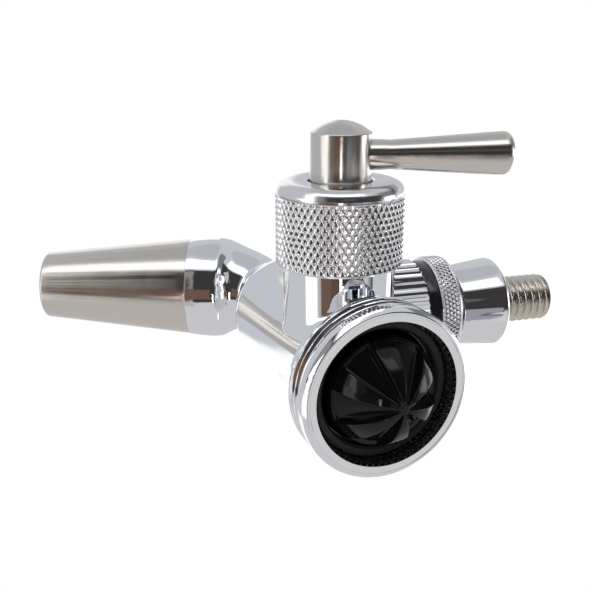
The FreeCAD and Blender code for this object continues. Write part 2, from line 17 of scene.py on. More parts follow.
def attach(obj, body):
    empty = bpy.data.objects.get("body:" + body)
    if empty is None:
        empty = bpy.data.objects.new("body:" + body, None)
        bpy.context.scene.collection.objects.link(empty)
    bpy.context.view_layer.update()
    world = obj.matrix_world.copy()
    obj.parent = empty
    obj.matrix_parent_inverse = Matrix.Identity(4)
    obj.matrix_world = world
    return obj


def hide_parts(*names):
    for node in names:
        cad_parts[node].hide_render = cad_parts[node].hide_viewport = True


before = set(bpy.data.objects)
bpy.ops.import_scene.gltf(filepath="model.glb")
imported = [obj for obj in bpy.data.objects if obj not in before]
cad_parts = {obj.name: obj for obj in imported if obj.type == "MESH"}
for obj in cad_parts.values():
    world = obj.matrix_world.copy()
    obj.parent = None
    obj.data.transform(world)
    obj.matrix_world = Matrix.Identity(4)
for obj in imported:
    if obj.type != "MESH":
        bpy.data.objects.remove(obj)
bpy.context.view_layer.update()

log = logging.getLogger("beer_faucet")

MM = 0.001
SHARP_DEGREES = 32.0
FLAT_DEGREES = 0.4
SAME_POINT = 2e-6
Colour = tuple[float, float, float]
Point = tuple[float, float, float]
Socket = bpy.types.NodeSocket
Value = Union[float, tuple, Socket]


def placed(origin: Point, axis: str, degrees: float) -> Matrix:
    """Makes the placement of a turned piece, whose own axis is local Z.

    Args:
        origin: A point on the turning axis, in millimetres.
        axis: The letter of the world axis that the placement is turned about.
        degrees: How far it is turned.

    Returns:
        The matrix from local millimetres to world metres.
    """
    turn = Matrix.Rotation(math.radians(degrees), 4, axis)
    return Matrix.Translation(Vector(origin) * MM) @ turn @ Matrix.Scale(MM, 4)


INLET = placed((0, 0, 0), "X", -90)
BOSS = placed((0, -19.8, 0), "Y", 90)
COLUMN = placed((0, -39.19, 0), "X", -4.6)
SPOUT = placed((0, -62.09, 0), "X", -23.6)
ARM = placed((34.75, -19.8, 0), "X", -17)


# ---- node sheets ----


@dataclass
class NodeSheet:
    """A short way to lay out nodes in a shader, world or geometry tree."""

    tree: bpy.types.NodeTree

    def add(self, kind: str, inputs: Optional[dict] = None, output: Union[int, str] = 0,
            **settings) -> Socket:
        """Adds one node and joins or sets its inputs.

        Args:
            kind: The node's type name.
            inputs: Input names or numbers, each with a value or with the socket that feeds it.
            output: Which output to hand back.
            **settings: The node's own properties.

        Returns:
            The chosen output socket.
        """
        node = self.tree.nodes.new(kind)
        for name, setting in settings.items():
            setattr(node, name, setting)
        for key, value in (inputs or {}).items():
            if isinstance(value, bpy.types.NodeSocket):
                self.tree.links.new(value, node.inputs[key])
            else:
                node.inputs[key].default_value = value
        return node.outputs[output] if node.outputs else None

    def math(self, operation: str, *values: Value) -> Socket:
        """Adds a Math node on the given values and returns its result."""
        return self.add("ShaderNodeMath", dict(enumerate(values)), operation=operation)

    def dot(self, vector: Value, other: Value) -> Socket:
        """Returns the dot product of two vectors."""
        return self.add("ShaderNodeVectorMath", {0: vector, 1: other}, "Value", operation="DOT_PRODUCT")

    def ramp(self, value: Value, low: float, high: float, start: float = 0.0, end: float = 1.0) -> Socket:
        """Maps low..high smoothly to start..end, held at both ends."""
        return self.add("ShaderNodeMapRange", {0: value, 1: low, 2: high, 3: start, 4: end},
                        interpolation_type="SMOOTHSTEP")

    def blend(self, part: Value, first: Value, second: Value) -> Socket:
        """Returns the first colour mixed towards the second by part."""
        return self.add("ShaderNodeMix", {0: part, 6: first, 7: second}, 2, data_type="RGBA")

    def noise(self, where: Value, scale: float, detail: float = 2.0, roughness: float = 0.5) -> Socket:
        """Returns a noise value in 3-D."""
        return self.add("ShaderNodeTexNoise", {"Vector": where, "Scale": scale, "Detail": detail,
                                               "Roughness": roughness})


# ---- finishes ----


@dataclass(frozen=True)
class Finish:
    """A surface finish: its colour, its polish, and the fine marks on it."""

    name: str
    colour: Colour
    metallic: float
    polish: tuple[float, float]
    mottle: float = 0.06
    mottle_scale: float = 260.0
    grain_scale: float = 5200.0
    grain_depth: float = 1.2e-6
    ripple_scale: float = 300.0
    ripple_depth: float = 0.0
    coat: float = 0.0
    specular: float = 0.5

    def body(self, sheet: NodeSheet, where: Socket) -> tuple[Socket, Socket, dict]:
        """Lays out what differs from one kind of finish to another.

        Args:
            sheet: The material's node sheet.
            where: Object coordinates, in metres.

        Returns:
            A 0 to 1 value of the fine marks, the height of the surface in metres, and more shader inputs.
        """
        grain = sheet.noise(where, self.grain_scale, 3.0, 0.6)
        ripple = sheet.noise(where, self.ripple_scale, 1.0)
        height = sheet.math("ADD", sheet.math("MULTIPLY", grain, self.grain_depth),
                            sheet.math("MULTIPLY", ripple, self.ripple_depth))
        return grain, height, {}

    def material(self) -> bpy.types.Material:
        """Builds the finish's material, or hands back the one already built."""
        ready = bpy.data.materials.get(self.name)
        if ready:
            return ready
        material = bpy.data.materials.new(self.name)
        material.use_nodes = True
        tree = material.node_tree
        tree.nodes.clear()
        sheet = NodeSheet(tree)
        where = sheet.add("ShaderNodeTexCoord", output="Object")
        marks, height, more = self.body(sheet, where)
        patch = sheet.noise(where, self.mottle_scale, 4.0, 0.6)
        shade = sheet.math("MULTIPLY_ADD", sheet.math("ADD", patch, marks), self.mottle, 1.0 - self.mottle)
        colour = sheet.add("ShaderNodeVectorMath", {0: self.colour, "Scale": shade}, operation="SCALE")
        rough = sheet.ramp(sheet.math("MULTIPLY_ADD", marks, 0.4, sheet.math("MULTIPLY", patch, 0.6)),
                           0.3, 0.7, *self.polish)
        bump = sheet.add("ShaderNodeBump", {"Height": height, "Strength": 1.0, "Distance": 1.0})
        surface = sheet.add("ShaderNodeBsdfPrincipled", {
            "Base Color": colour, "Metallic": self.metallic, "Roughness": rough, "Normal": bump,
            "Coat Weight": self.coat, "Coat Roughness": 0.06, "Specular IOR Level": self.specular, **more})
        sheet.add("ShaderNodeOutputMaterial", {"Surface": surface})
        return material


@dataclass(frozen=True)
class TurnedFinish(Finish):
    """A metal with the fine rings that a lathe or a brush leaves round a turning axis."""

    axis: Matrix = field(default=INLET)
    rings: float = 7000.0
    ring_depth: float = 0.9e-6
    stretch: float = 0.7

    def body(self, sheet: NodeSheet, where: Socket) -> tuple[Socket, Socket, dict]:
        """Lays out the rings, which stretch the gloss along the axis.

        Args:
            sheet: The material's node sheet.
            where: Object coordinates, in metres.

        Returns:
            A 0 to 1 value of the rings, the height of the surface in metres, and the gloss's direction.
        """
        along = tuple((self.axis.to_3x3() @ Vector((0, 0, 1))).normalized())
        away = sheet.add("ShaderNodeVectorMath", {0: where, 1: tuple(self.axis.translation)},
                         operation="SUBTRACT")
        height = sheet.dot(away, along)
        around = sheet.add("ShaderNodeVectorMath", {0: along, 1: away}, operation="CROSS_PRODUCT")
        drift = sheet.math("MULTIPLY", sheet.noise(where, 90.0, 2.0), 0.0006)
        line = sheet.add("ShaderNodeCombineXYZ", {0: sheet.math("ADD", height, drift)})
        fine = sheet.noise(line, self.rings, 2.0, 0.7)
        broad = sheet.noise(line, self.rings / 6, 2.0, 0.6)
        rings = sheet.math("MULTIPLY_ADD", fine, 0.6, sheet.math("MULTIPLY", broad, 0.4))
        relief = sheet.math("MULTIPLY", rings, self.ring_depth)
        return rings, relief, {"Anisotropic": self.stretch, "Anisotropic Rotation": 0.25, "Tangent": around}


CHROME = Finish("bright_chrome", (0.86, 0.87, 0.90), 1.0, (0.035, 0.075), mottle=0.03, ripple_scale=170.0,
                ripple_depth=7e-6)
CUT_CHROME = Finish("knurled_chrome", (0.80, 0.80, 0.82), 1.0, (0.14, 0.24), mottle=0.08, mottle_scale=700.0,
                    grain_depth=2.5e-6)
LEVER_STEEL = Finish("stud_steel", (0.66, 0.62, 0.56), 1.0, (0.2, 0.3), mottle=0.05, grain_depth=0.6e-6)
CLIP_STEEL = Finish("spring_steel", (0.36, 0.36, 0.38), 1.0, (0.28, 0.4), mottle=0.1)
BRASS = TurnedFinish("turned_brass", (0.74, 0.56, 0.29), 1.0, (0.2, 0.36), axis=BOSS)
RUBBER = Finish("moulded_rubber", (0.020, 0.020, 0.022), 0.0, (0.38, 0.58), mottle=0.2, grain_scale=3500.0,
                grain_depth=6e-6, specular=0.4)
GASKET = Finish("gasket_rubber", (0.012, 0.012, 0.015), 0.0, (0.10, 0.2), mottle=0.2, grain_depth=1.5e-6,
                coat=0.4)
GLOSS_BLACK = Finish("polished_moulding", (0.004, 0.004, 0.005), 0.0, (0.07, 0.14), mottle=0.2,
                     ripple_scale=450.0, ripple_depth=2e-6, specular=0.3)
SATIN_BLACK = Finish("satin_moulding", (0.028, 0.028, 0.030), 0.0, (0.32, 0.5), mottle=0.15,
                     grain_depth=3e-6)
ACETAL = Finish("white_acetal", (0.84, 0.84, 0.80), 0.0, (0.3, 0.44), mottle=0.04, grain_depth=3e-6)


def brushed(name: str, axis: Matrix) -> TurnedFinish:
    """Returns the warm brushed steel, with its brush marks round the given turning axis."""
    return TurnedFinish(name, (0.70, 0.67, 0.63), 1.0, (0.2, 0.27), mottle=0.05, axis=axis)


# ---- turned shapes ----


@dataclass
class Outline:
    """A closed outline in radius and height along a turning axis, in millimetres."""

    points: list[tuple[float, float]] = field(default_factory=list)

    def line(self, radius: float, height: float, rows: int = 1) -> "Outline":
        """Runs straight to a corner, in as many rows of faces as asked, and returns the outline."""
        if not self.points:
            self.points.append((radius, height))
            return self
        start_radius, start_height = self.points[-1]
        for row in range(1, rows + 1):
            part = row / rows
            self.points.append((start_radius + (radius - start_radius) * part,
                                start_height + (height - start_height) * part))
        return self

    def arc(self, radius: float, height: float, bend: float, rows: int = 8) -> "Outline":
        """Runs on an arc to a corner.

        Args:
            radius: The corner's radius.
            height: The corner's height.
            bend: The arc's radius, positive if its centre is left of the way.
            rows: How many rows of faces it takes.

        Returns:
            The outline.
        """
        start = Vector(self.points[-1])
        chord = Vector((radius, height)) - start
        rise = math.sqrt(max(bend * bend - chord.length_squared / 4, 0.0))
        side = math.copysign(1.0, bend)
        centre = start + chord / 2 + Vector((-chord.y, chord.x)).normalized() * rise * side
        first, last = start - centre, Vector((radius, height)) - centre
        sweep = (math.atan2(last.y, last.x) - math.atan2(first.y, first.x)) * side % (2 * math.pi) * side
        for row in range(1, rows + 1):
            spoke = Matrix.Rotation(sweep * row / rows, 2) @ first
            self.points.append(tuple(centre + spoke))
        return self

    def turned(self, name: str, segments: int) -> bpy.types.Object:
        """Turns the outline about local Z into a closed mesh, in millimetres.

        Args:
            name: The new object's name.
            segments: How many faces go round.

        Returns:
            The object, not yet in its place.
        """
        work = bmesh.new()
        loops = []
        for radius, height in self.points:
            if radius < 1e-6:
                loops.append([work.verts.new((0, 0, height))] * segments)
                continue
            turns = (2 * math.pi * step / segments for step in range(segments))
            loops.append([work.verts.new((radius * math.cos(turn), radius * math.sin(turn), height))
                          for turn in turns])
        for low, high in zip(loops, loops[1:] + loops[:1]):
            if low[0] is low[1] and high[0] is high[1]:
                continue
            for step in range(segments):
                after = (step + 1) % segments
                corners = dict.fromkeys((low[step], low[after], high[after], high[step]))
                work.faces.new(list(corners))
        bmesh.ops.recalc_face_normals(work, faces=work.faces)
        mesh = bpy.data.meshes.new(name)
        work.to_mesh(mesh)
        work.free()
        piece = bpy.data.objects.new(name, mesh)
        bpy.context.scene.collection.objects.link(piece)
        return piece


class CutKind(Enum):
    """The patterns that are cut into turned walls."""

    DIAMOND = "diamond_knurl"
    THREAD = "screw_thread"
    FLUTE = "round_flutes"
    TOOTH = "vee_teeth"


@dataclass(frozen=True)
class CutPattern:
    """A pattern cut into the part of a turned wall between two heights and two radii, in millimetres.

    A negative depth raises the pattern from the wall.
    """

    kind: CutKind
    count: int
    pitch: float
    depth: float
    low: float
    high: float
    fade: float
    inner: float
    outer: float

    def shape(self, sheet: NodeSheet, turn: Socket, along: Socket) -> Socket:
        """Lays out the pattern's height over the wall.

        Args:
            sheet: The tree's node sheet.
            turn: Repeats counted round the axis.
            along: Repeats counted along the axis.

        Returns:
            How deep the cut is, from 0 at the crests to 1 at the roots.
        """
        if self.kind is CutKind.DIAMOND:
            lands = [sheet.math("PINGPONG", sheet.math(way, turn, along), 0.5)
                     for way in ("ADD", "SUBTRACT")]
            crest = sheet.math("MULTIPLY", sheet.math("MINIMUM", *lands), 2.3)
            return sheet.math("SUBTRACT", 1.0, sheet.math("MINIMUM", crest, 1.0))
        if self.kind is CutKind.THREAD:
            wave = sheet.math("PINGPONG", sheet.math("SUBTRACT", along, turn), 0.5)
            return sheet.ramp(wave, 0.06, 0.44)
        if self.kind is CutKind.FLUTE:
            wave = sheet.math("PINGPONG", turn, 0.5)
            return sheet.math("POWER", sheet.math("MULTIPLY", wave, 2.0), 0.6)
        return sheet.math("MULTIPLY", sheet.math("PINGPONG", turn, 0.5), 2.0)

    def tree(self) -> bpy.types.NodeTree:
        """Builds the pattern's geometry tree, whose named inputs carry its sizes."""
        tree = bpy.data.node_groups.new(self.kind.value, "GeometryNodeTree")
        face = tree.interface
        face.new_socket("Geometry", in_out="INPUT", socket_type="NodeSocketGeometry")
        for name in self.sizes():
            face.new_socket(name, in_out="INPUT", socket_type="NodeSocketFloat")
        face.new_socket("Finish", in_out="INPUT", socket_type="NodeSocketMaterial")
        face.new_socket("Geometry", in_out="OUTPUT", socket_type="NodeSocketGeometry")
        sheet = NodeSheet(tree)
        given = tree.nodes.new("NodeGroupInput").outputs
        position = sheet.add("GeometryNodeInputPosition")
        x, y, z = sheet.add("ShaderNodeSeparateXYZ", {0: position}).node.outputs
        flat = sheet.add("ShaderNodeCombineXYZ", {0: x, 1: y})
        reach = sheet.add("ShaderNodeVectorMath", {0: flat}, "Value", operation="LENGTH")
        turn = sheet.math("DIVIDE", sheet.math("ARCTAN2", y, x), 2 * math.pi)
        repeats = sheet.math("MULTIPLY", turn, given["Count"])
        depth = self.shape(sheet, repeats, sheet.math("DIVIDE", z, given["Pitch"]))
        rise = sheet.math("DIVIDE", sheet.math("SUBTRACT", z, given["Low"]), given["Fade"])
        fall = sheet.math("DIVIDE", sheet.math("SUBTRACT", given["High"], z), given["Fade"])
        share = sheet.ramp(sheet.math("MINIMUM", rise, fall), 0.0, 1.0)
        beyond = sheet.math("GREATER_THAN", reach, given["Inner Radius"])
        within = sheet.math("LESS_THAN", reach, given["Outer Radius"])
        amount = sheet.math("MULTIPLY", sheet.math("MULTIPLY", depth, share), given["Depth"])
        amount = sheet.math("MULTIPLY", amount, sheet.math("MULTIPLY", beyond, within))
        inward = sheet.add("ShaderNodeVectorMath", {0: flat}, operation="NORMALIZE")
        reverse = sheet.math("MULTIPLY", amount, -1.0)
        offset = sheet.add("ShaderNodeVectorMath", {0: inward, "Scale": reverse}, operation="SCALE")
        moved = sheet.add("GeometryNodeSetPosition", {"Geometry": given["Geometry"], "Offset": offset})
        real = sheet.add("GeometryNodeRealizeInstances", {"Geometry": moved})
        dressed = sheet.add("GeometryNodeSetMaterial", {"Geometry": real, "Material": given["Finish"]})
        sheet.add("NodeGroupOutput", {"Geometry": dressed})
        return tree

    def sizes(self) -> dict[str, float]:
        """Returns the tree's named sizes with this pattern's values."""
        return {"Count": float(self.count), "Pitch": self.pitch, "Depth": self.depth, "Low": self.low,
                "High": self.high, "Fade": self.fade, "Inner Radius": self.inner, "Outer Radius": self.outer}

    def cut(self, piece: bpy.types.Object, finish: Finish) -> bpy.types.Object:
        """Cuts the pattern into a turned piece and bakes it to a plain mesh.

        Args:
            piece: The piece, still in local millimetres.
            finish: The finish that the cut piece takes.

        Returns:
            The same object with its new mesh.
        """
        step = piece.modifiers.new(self.kind.value, "NODES")
        step.node_group = self.tree()
        values = {**self.sizes(), "Finish": finish.material()}
        for item in step.node_group.interface.items_tree:
            if item.in_out == "INPUT" and item.name in values:
                step[item.identifier] = values[item.name]
        plain = bpy.data.meshes.new_from_object(piece.evaluated_get(bpy.context.evaluated_depsgraph_get()))
        piece.modifiers.remove(step)
        piece.data = plain
        return piece


# ---- putting pieces in place ----


def smooth(mesh: bpy.types.Mesh, degrees: float = SHARP_DEGREES) -> None:
    """Shades a mesh smooth but for its edges sharper than the angle."""
    mesh.shade_smooth()
    mesh.set_sharp_from_angle(angle=math.radians(degrees))


def settle(piece: bpy.types.Object, place: Matrix, finish: Finish,
           sharp: float = SHARP_DEGREES) -> bpy.types.Object:
    """Moves a piece's mesh from local millimetres to its place, and shades and dresses it.

    Args:
        piece: The piece, whose object stays at the origin.
        place: The matrix from local millimetres to world metres.
        finish: The finish for the whole piece.
        sharp: The least angle, in degrees, of an edge that shows as sharp.

    Returns:
        The piece.
    """
    piece.data.transform(place)
    smooth(piece.data, sharp)
    piece.data.materials.clear()
    piece.data.materials.append(finish.material())
    return piece


def stand_for(piece: bpy.types.Object, node: str, body: str) -> None:
    """Makes a piece ride on its body and take the place of its CAD node, and reports it."""
    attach(piece, body)
    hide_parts(node)
    log.info("%s rides on %s and stands for %s, %d faces", piece.name, body, node, len(piece.data.polygons))


def merged_copy(node: str, name: str) -> bpy.types.Object:
    """Returns a new object with a copy of a CAD node's mesh whose loose triangles are joined up."""
    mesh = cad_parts[node].data.copy()
    mesh.name = name
    work = bmesh.new()
    work.from_mesh(mesh)
    bmesh.ops.remove_doubles(work, verts=work.verts, dist=SAME_POINT)
    work.to_mesh(mesh)
    work.free()
    piece = bpy.data.objects.new(name, mesh)
    bpy.context.scene.collection.objects.link(piece)
    return piece


def eased_copy(node: str, name: str, width: float) -> bpy.types.Object:
    """Copies a CAD node and rounds its sharp edges.

    Args:
        node: The CAD node.
        name: The new object's name.
        width: The rounding's width in millimetres.

    Returns:
        The new object, with its rounding made part of its mesh.
    """
    piece = merged_copy(node, name)
    work = bmesh.new()
    work.from_mesh(piece.data)
    bmesh.ops.dissolve_limit(work, angle_limit=math.radians(FLAT_DEGREES), verts=work.verts,
                             edges=work.edges)
    work.to_mesh(piece.data)
    work.free()
    if "custom_normal" in piece.data.attributes:
        piece.data.attributes.remove(piece.data.attributes["custom_normal"])
    round_off = piece.modifiers.new("eased_edges", "BEVEL")
    round_off.width = width * MM
    round_off.segments = 3
    round_off.limit_method = "ANGLE"
    round_off.angle_limit = math.radians(SHARP_DEGREES)
    round_off.use_clamp_overlap = False
    plain = bpy.data.meshes.new_from_object(piece.evaluated_get(bpy.context.evaluated_depsgraph_get()))
    piece.modifiers.remove(round_off)
    piece.data = plain
    return piece


# ---- sub-assemblies ----


@dataclass
class Casting:
    """The chromed body: the cast shell, the threaded inlet collar and the column's fluted top."""

    collar_radius: float = 14.277
    face_radius: float = 13.75
    collar_length: float = 6.4
    recess_radius: float = 11.8
    recess_depth: float = 5.0
    thread_pitch: float = 1.411
    thread_depth: float = 0.72
    teeth: int = 66
    tooth_depth: float = 0.42
    core_radius: float = 13.05
    tube_height: float = 9
    column_radius: float = 10.0
    column_core: float = 9.4
    flutes_low: float = 14.5
    flutes_high: float = 24.1
    flutes: int = 42
    flute_depth: float = 0.42

    def shell(self) -> bpy.types.Object:
        """Returns the cast shell, drawn in where the collar and the flutes go over it."""
        piece = merged_copy("faucet_body", "cast_shell")
        work = bmesh.new()
        work.from_mesh(piece.data)
        self.draw_in_collar(work)
        self.draw_in_column(work)
        work.to_mesh(piece.data)
        work.free()
        if "custom_normal" in piece.data.attributes:
            piece.data.attributes.remove(piece.data.attributes["custom_normal"])
        return piece

    def draw_in_collar(self, work: bmesh.types.BMesh) -> None:
        """Draws the collar's points in, so that the threaded sleeve covers them."""
        to_local = INLET.inverted()
        hidden = self.core_radius
        for vert in work.verts:
            local = to_local @ vert.co
            reach = math.hypot(local.x, local.y)
            front, back = local.z > 0.01 - self.collar_length, abs(local.z + self.collar_length) < 0.02
            target = None
            if (front and reach > hidden) or (back and reach > self.collar_radius - 0.02):
                target = hidden
            elif local.z > -self.recess_depth - 0.01 and reach > self.recess_radius - 0.05:
                target = self.recess_radius + 0.7
            if target is None:
                continue
            local.x *= target / reach
            local.y *= target / reach
            local.z = min(local.z, -0.3)
            vert.co = INLET @ local

    def draw_in_column(self, work: bmesh.types.BMesh) -> None:
        """Draws the column's top in, so that the fluted sleeve covers it."""
        to_local = COLUMN.inverted()
        along = (COLUMN.to_3x3() @ Vector((0, 0, 1))).normalized()

        def on_column(face: bmesh.types.BMFace) -> bool:
            """Tells whether a face is part of the column above the tube."""
            spots = [to_local @ vert.co for vert in face.verts]
            return all(math.hypot(spot.x, spot.y) < self.column_radius + 0.05 and spot.z > self.tube_height
                       for spot in spots)

        for height in (self.flutes_low, self.flutes_low + 0.1):
            faces = [face for face in work.faces if on_column(face)]
            edges = {edge for face in faces for edge in face.edges}
            verts = {vert for face in faces for vert in face.verts}
            bmesh.ops.bisect_plane(work, geom=[*faces, *edges, *verts], dist=1e-7,
                                   plane_co=COLUMN @ Vector((0, 0, height)), plane_no=along)
        for vert in work.verts:
            local = to_local @ vert.co
            reach = math.hypot(local.x, local.y)
            if self.flutes_low + 0.05 < local.z < self.flutes_high + 0.05 and 9.9 < reach < 10.1:
                local.x *= self.column_core / reach
                local.y *= self.column_core / reach
                vert.co = COLUMN @ local

    def collar(self) -> bpy.types.Object:
        """Returns the sleeve with the coupling thread outside and the fine teeth inside."""
        radius, face = self.collar_radius, self.face_radius
        outline = Outline().line(self.recess_radius + 0.35, 0.0).line(face - 0.62, 0.0)
        outline.line(face - 0.56, -0.1).line(face - 0.44, -0.1).line(face - 0.38, 0.0)
        outline.line(face - 0.1, 0.0).arc(face + 0.05, -0.12, -0.16, 3).line(radius, -0.62)
        outline.line(radius, -self.collar_length + 0.06, 62).line(radius - 0.06, -self.collar_length)
        outline.line(self.core_radius - 0.2, -self.collar_length).line(self.core_radius - 0.2, -5.05)
        outline.line(self.recess_radius, -5.05).line(self.recess_radius, -3.2)
        outline.line(self.recess_radius, -0.35, 6)
        sleeve = outline.turned("inlet_collar", self.teeth * 6)
        thread = CutPattern(CutKind.THREAD, 1, self.thread_pitch, self.thread_depth, -6.1, -2.15, 0.25,
                            self.face_radius, 20.0)
        teeth = CutPattern(CutKind.TOOTH, self.teeth, 1.0, -self.tooth_depth, -3.1, 0.4, 0.3, 11.0,
                           self.recess_radius + 0.1)
        return teeth.cut(thread.cut(sleeve, CHROME), CHROME)

    def flutes_sleeve(self) -> bpy.types.Object:
        """Returns the sleeve with the straight flutes below the bonnet's gasket."""
        low, high, radius = self.flutes_low, self.flutes_high, self.column_radius
        outline = Outline().line(9.2, low + 0.02).line(radius, low + 0.02).line(radius, low + 1.2, 6)
        outline.line(radius, high - 0.25, 6).line(radius - 0.25, high).line(9.2, high)
        sleeve = outline.turned("column_flutes", self.flutes * 8)
        return CutPattern(CutKind.FLUTE, self.flutes, 1.0, self.flute_depth, low + 0.1, 99.0, 0.9, 9.6,
                          20.0).cut(sleeve, CHROME)

    def build(self) -> None:
        """Builds and places the three pieces of the body."""
        shell = self.shell()
        shell.data.materials.clear()
        shell.data.materials.append(CHROME.material())
        smooth(shell.data)
        stand_for(shell, "faucet_body", "body")
        stand_for(settle(self.collar(), INLET, CHROME), "faucet_body", "body")
        stand_for(settle(self.flutes_sleeve(), COLUMN, CHROME, 24), "faucet_body", "body")


@dataclass
class FlowControl:
    """The knurled gland nut, the hub and arm of the flow-control lever, and the finned torpedo inside."""

    nut_radius: float = 10.8
    nut_low: float = 16.5
    nut_high: float = 30.7
    boss_radius: float = 9.5
    hole_radius: float = 5.45
    knurl_low: float = 17.0
    knurl_high: float = 28.45
    knurls: int = 58
    knurl_pitch: float = 2.0
    knurl_depth: float = 0.46

    def nut(self) -> bpy.types.Object:
        """Returns the gland nut with its diamond knurl."""
        radius, high = self.nut_radius, self.nut_high
        outline = Outline().line(self.boss_radius + 0.02, self.nut_low).line(radius - 0.55, self.nut_low)
        outline.arc(radius - 0.2, self.nut_low + 0.35, 0.4, 3).line(radius, self.knurl_low, 2)
        outline.line(radius, self.knurl_high, 58).line(radius - 0.5, self.knurl_high + 0.1)
        outline.line(radius - 0.5, self.knurl_high + 0.3).line(radius - 0.08, self.knurl_high + 0.42)
        outline.arc(radius - 2.1, high, 2.0, 12).line(self.hole_radius + 0.3, high)
        outline.arc(self.hole_radius, high - 0.3, 0.3, 3).line(self.hole_radius, 27.5)
        outline.line(self.boss_radius + 0.02, 27.5)
        blank = outline.turned("knurled_gland_nut", self.knurls * 6)
        return CutPattern(CutKind.DIAMOND, self.knurls, self.knurl_pitch, self.knurl_depth,
                          self.knurl_low - 0.1, self.knurl_high + 0.1, 0.25, radius - 0.25,
                          20.0).cut(blank, CUT_CHROME)

    def build(self) -> None:
        """Builds and places the nut, the lever's pieces and the torpedo."""
        stand_for(settle(self.nut(), BOSS, CUT_CHROME, 60), "gland_nut", "body")
        hub_steel = brushed("brushed_hub_steel", BOSS)
        arm_steel = brushed("brushed_arm_steel", ARM)
        for node, name, width, finish, body, slot in (
                ("lever_hub", "brushed_hub", 0.18, hub_steel, "flow_lever", "brushed_steel"),
                ("lever_arm", "brushed_arm", 0.15, arm_steel, "flow_lever", "brushed_steel"),
                ("compensator", "finned_torpedo", 0.14, GLOSS_BLACK, "compensator", "gloss_black_plastic")):
            piece = eased_copy(node, name, width)
            stand_for(settle(piece, Matrix.Identity(4), finish, 40), node, body)


@dataclass
class Bonnet:
    """The gasket and the knurled ring that hold the handle's ball in the column."""

    thread_radius: float = 8.62
    gasket_radius: float = 9.7
    gasket_low: float = 24.1
    gasket_high: float = 26.4
    ring_radius: float = 10.3
    ring_high: float = 30.6
    web_low: float = 28.0
    web_high: float = 29.3
    hole_radius: float = 5.4
    knurls: int = 72
    knurl_pitch: float = 1.45
    knurl_depth: float = 0.34

    def gasket(self) -> bpy.types.Object:
        """Returns the gasket, its outer wall slightly crowned."""
        low, high, radius = self.gasket_low, self.gasket_high, self.gasket_radius
        outline = Outline().line(self.thread_radius + 0.03, low).line(radius - 0.35, low)
        outline.arc(radius - 0.1, low + 0.25, 0.25, 4).arc(radius - 0.1, high - 0.25, 11.0, 8)
        outline.arc(radius - 0.35, high, 0.25, 4).line(self.thread_radius + 0.03, high)
        return outline.turned("bonnet_seal", 128)

    def ring(self) -> bpy.types.Object:
        """Returns the bonnet ring with its diamond knurl and dished top."""
        low, high, radius = self.gasket_high, self.ring_high, self.ring_radius
        outline = Outline().line(self.thread_radius, low).line(radius - 0.6, low)
        outline.arc(radius - 0.15, low + 0.3, 0.45, 4).line(radius, low + 0.4, 2)
        outline.line(radius, high - 0.6, 30).line(radius - 0.06, high - 0.42, 2)
        outline.arc(radius - 0.35, high, 0.5, 5).arc(radius - 0.75, high - 0.4, 0.4, 4)
        outline.line(radius - 1.0, self.web_high).line(self.hole_radius + 0.2, self.web_high)
        outline.arc(self.hole_radius, self.web_high - 0.2, 0.2, 3).line(self.hole_radius, self.web_low)
        outline.line(self.thread_radius, self.web_low)
        blank = outline.turned("knurled_bonnet_ring", self.knurls * 6)
        return CutPattern(CutKind.DIAMOND, self.knurls, self.knurl_pitch, self.knurl_depth, low + 0.15,
                          high - 0.3, 0.2, radius - 0.2, 20.0).cut(blank, CUT_CHROME)

    def build(self) -> None:
        """Builds and places the gasket and the ring."""
        stand_for(settle(self.gasket(), COLUMN, GASKET), "bonnet_gasket", "body")
        stand_for(settle(self.ring(), COLUMN, CUT_CHROME, 60), "bonnet_ring", "body")


@dataclass
class Handle:
    """The lever from its valve knob to its threaded stud, and the flared ferrule on it."""

    ball_height: float = 24.5
    ball_radius: float = 6.2
    knob_radius: float = 2.4
    waist_radius: float = 1.7
    foot_radius: float = 2.6
    neck_radius: float = 3.4
    stud_radius: float = 4.7625
    root_radius: float = 4.4
    stud_low: float = 31.4
    stud_high: float = 54.1
    ferrule_high: float = 41.9
    pitch: float = 1.5875
    thread_depth: float = 0.75

    def lever(self) -> bpy.types.Object:
        """Returns the lever, turned in one piece, with its rolled thread."""
        ball, height, stud = self.ball_radius, self.ball_height, self.stud_radius
        knob, waist, foot, neck = self.knob_radius, self.waist_radius, self.foot_radius, self.neck_radius
        outline = Outline().line(0.0, -knob).arc(waist, math.sqrt(knob ** 2 - waist ** 2), knob, 14)
        outline.line(foot, height - math.sqrt(ball ** 2 - foot ** 2))
        outline.arc(neck, height + math.sqrt(ball ** 2 - neck ** 2), ball, 32).line(neck, height + ball)
        outline.line(self.root_radius, self.stud_low).line(self.root_radius, self.ferrule_high)
        outline.line(stud, self.ferrule_high + 0.3)
        outline.line(stud, self.stud_high - 1.3, 110).arc(stud - 1.3, self.stud_high, 1.3, 8)
        outline.line(0.0, self.stud_high)
        blank = outline.turned("threaded_lever", 96)
        return CutPattern(CutKind.THREAD, 1, self.pitch, self.thread_depth, self.ferrule_high + 0.3,
                          self.stud_high - 0.2, 0.7, 4.6, 4.9).cut(blank, LEVER_STEEL)

    def build(self) -> None:
        """Builds and places the lever and the ferrule."""
        stand_for(settle(self.lever(), COLUMN, LEVER_STEEL), "handle_lever", "handle")
        ferrule = eased_copy("handle_ferrule", "flared_ferrule", 0.12)
        stand_for(settle(ferrule, Matrix.Identity(4), CHROME), "handle_ferrule", "handle")


@dataclass
class Spout:
    """The brushed nozzle on the spout's end."""

    edge: float = 0.22

    def build(self) -> None:
        """Builds and places the nozzle."""
        piece = eased_copy("nozzle", "brushed_nozzle", self.edge)
        finish = brushed("brushed_nozzle_steel", SPOUT)
        stand_for(settle(piece, Matrix.Identity(4), finish), "nozzle", "body")


